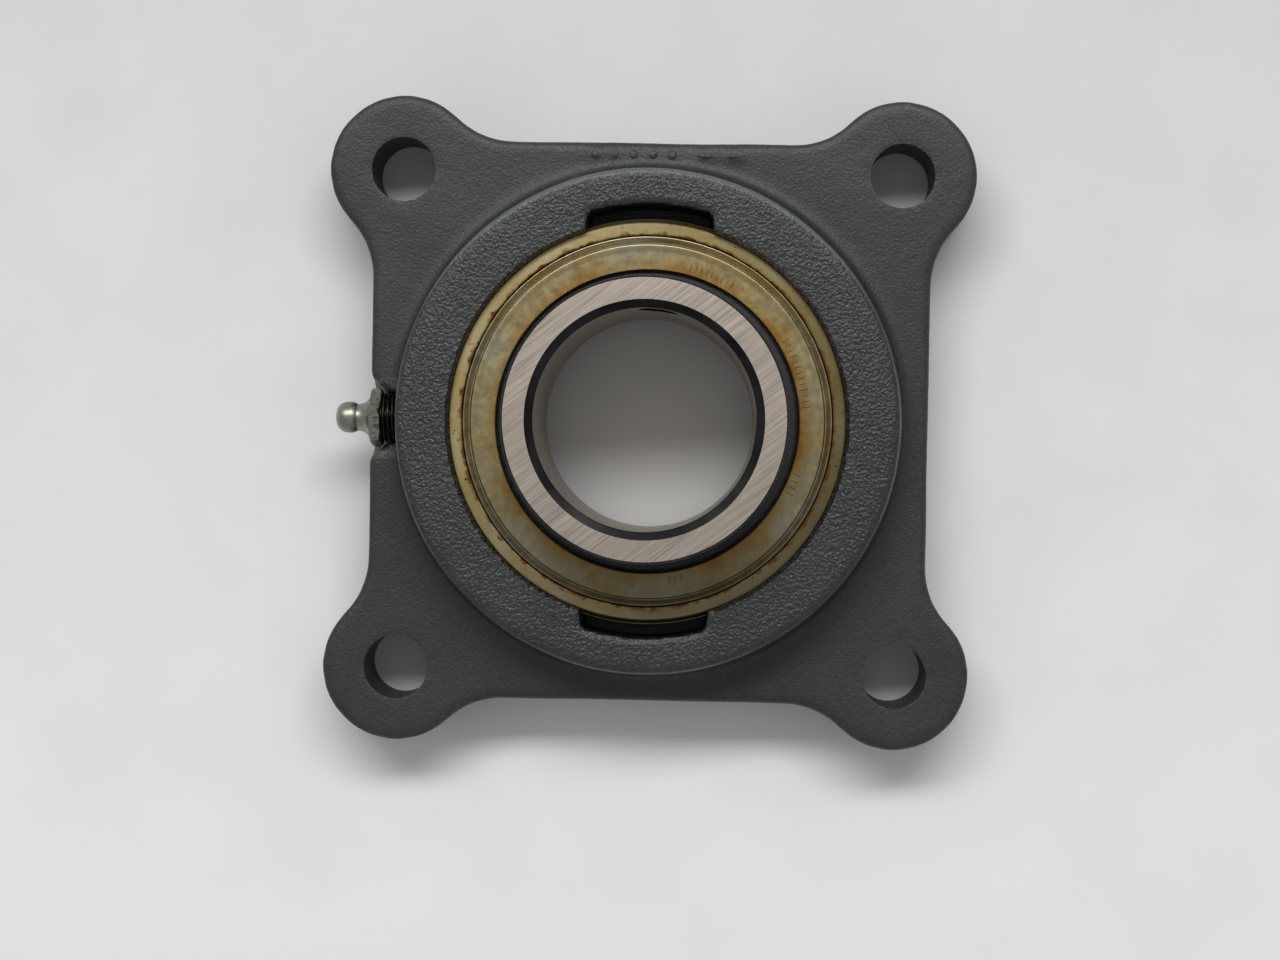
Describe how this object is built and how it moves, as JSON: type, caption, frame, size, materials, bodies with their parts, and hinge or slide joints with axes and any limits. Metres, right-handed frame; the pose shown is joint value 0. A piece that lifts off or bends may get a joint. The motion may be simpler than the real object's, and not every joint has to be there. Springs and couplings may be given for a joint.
{
  "type": "flange mount bearing",
  "caption": "Square cast flange housing with corner bolt holes and a self-aligning, sealed ball bearing insert with an extended, set-screw-locked inner ring and a side grease fitting.",
  "frame": {"origin": "on the bore's axis at the mounting face, which is the centre of the bolt hole pattern", "axes": "+Z out of the front along the shaft, +Y towards one loading slot, -X towards the grease fitting"},
  "size_m": [0.1364, 0.1364, 0.0456],
  "materials": {
    "cast_housing": "blue-grey paint over rough sand-cast iron",
    "bearing_ring": "straw-coloured oxide film on turned bearing steel",
    "ground_ring": "ground bearing steel with dark unground bevels",
    "ball_steel": "polished bearing steel",
    "cage_plastic": "moulded natural nylon",
    "seal_steel": "pressed steel with a straw-coloured film",
    "seal_rubber": "matt black nitrile rubber",
    "screw_steel": "black-oxidised steel",
    "zinc_steel": "dull zinc plate, slightly yellow",
    "spring_steel": "bright spring wire"
  },
  "bodies": {
    "housing": {"housing": "cast_housing", "grease_fitting_body": "zinc_steel", "grease_fitting_spring": "spring_steel", "grease_fitting_retainer": "zinc_steel"},
    "insert": {"outer_ring": "bearing_ring", "front_shroud_cap": "seal_steel", "front_seal_washer": "seal_rubber", "front_inner_cap": "seal_steel", "back_shroud_cap": "seal_steel", "back_seal_washer": "seal_rubber", "back_inner_cap": "seal_steel"},
    "inner_ring": {"inner_ring": "ground_ring"},
    "cage": {"ball_cage": "cage_plastic"},
    "check_ball": {"grease_fitting_ball": "ball_steel"},
    "set_screw_1": {"set_screw_1": "screw_steel"},
    "set_screw_2": {"set_screw_2": "screw_steel"},
    "ball_1": {"ball_1": "ball_steel"},
    "ball_2": {"ball_2": "ball_steel"},
    "ball_3": {"ball_3": "ball_steel"},
    "ball_4": {"ball_4": "ball_steel"},
    "ball_5": {"ball_5": "ball_steel"},
    "ball_6": {"ball_6": "ball_steel"},
    "ball_7": {"ball_7": "ball_steel"},
    "ball_8": {"ball_8": "ball_steel"},
    "ball_9": {"ball_9": "ball_steel"}
  },
  "joints": [
    {"name": "align_tilt", "type": "hinge", "parent": "housing", "child": "insert", "pos_m": [0, 0, 0.015], "axis": [0, 1, 0], "range_deg": [-3, 3]},
    {"name": "inner_ring_spin", "type": "hinge", "parent": "insert", "child": "inner_ring", "pos_m": [0, 0, 0.015], "axis": [0, 0, 1], "continuous": true},
    {"name": "cage_spin", "type": "hinge", "parent": "insert", "child": "cage", "pos_m": [0, 0, 0.015], "axis": [0, 0, 1], "continuous": true},
    {"name": "ball_1_roll", "type": "hinge", "parent": "cage", "child": "ball_1", "pos_m": [0.0325, 0, 0.015], "axis": [0, 0, 1], "continuous": true},
    {"name": "ball_2_roll", "type": "hinge", "parent": "cage", "child": "ball_2", "pos_m": [0.0249, 0.02089, 0.015], "axis": [0, 0, 1], "continuous": true},
    {"name": "ball_3_roll", "type": "hinge", "parent": "cage", "child": "ball_3", "pos_m": [0.00564, 0.03201, 0.015], "axis": [0, 0, 1], "continuous": true},
    {"name": "ball_4_roll", "type": "hinge", "parent": "cage", "child": "ball_4", "pos_m": [-0.01625, 0.02815, 0.015], "axis": [0, 0, 1], "continuous": true},
    {"name": "ball_5_roll", "type": "hinge", "parent": "cage", "child": "ball_5", "pos_m": [-0.03054, 0.01112, 0.015], "axis": [0, 0, 1], "continuous": true},
    {"name": "ball_6_roll", "type": "hinge", "parent": "cage", "child": "ball_6", "pos_m": [-0.03054, -0.01112, 0.015], "axis": [0, 0, 1], "continuous": true},
    {"name": "ball_7_roll", "type": "hinge", "parent": "cage", "child": "ball_7", "pos_m": [-0.01625, -0.02815, 0.015], "axis": [0, 0, 1], "continuous": true},
    {"name": "ball_8_roll", "type": "hinge", "parent": "cage", "child": "ball_8", "pos_m": [0.00564, -0.03201, 0.015], "axis": [0, 0, 1], "continuous": true},
    {"name": "ball_9_roll", "type": "hinge", "parent": "cage", "child": "ball_9", "pos_m": [0.0249, -0.02089, 0.015], "axis": [0, 0, 1], "continuous": true},
    {"name": "set_screw_1_travel", "type": "slide", "parent": "inner_ring", "child": "set_screw_1", "axis": [-0.9945, 0.1045, 0], "range_m": [-0.002, 0.0004]},
    {"name": "set_screw_2_travel", "type": "slide", "parent": "inner_ring", "child": "set_screw_2", "axis": [-0.1045, -0.9945, 0], "range_m": [-0.002, 0.0004]},
    {"name": "check_ball_travel", "type": "slide", "parent": "housing", "child": "check_ball", "axis": [1, 0, 0], "range_m": [0, 0.0008], "stiffness_N_per_m": 300, "springref_m": -0.001, "deforming": ["grease_fitting_spring"]}
  ],
  "couplings": [
    {"joint": "cage_spin", "follows": "inner_ring_spin", "ratio": 0.40231},
    {"joint": "ball_1_roll", "follows": "inner_ring_spin", "ratio": -2.4614},
    {"joint": "ball_2_roll", "follows": "inner_ring_spin", "ratio": -2.4614},
    {"joint": "ball_3_roll", "follows": "inner_ring_spin", "ratio": -2.4614},
    {"joint": "ball_4_roll", "follows": "inner_ring_spin", "ratio": -2.4614},
    {"joint": "ball_5_roll", "follows": "inner_ring_spin", "ratio": -2.4614},
    {"joint": "ball_6_roll", "follows": "inner_ring_spin", "ratio": -2.4614},
    {"joint": "ball_7_roll", "follows": "inner_ring_spin", "ratio": -2.4614},
    {"joint": "ball_8_roll", "follows": "inner_ring_spin", "ratio": -2.4614},
    {"joint": "ball_9_roll", "follows": "inner_ring_spin", "ratio": -2.4614}
  ]
}
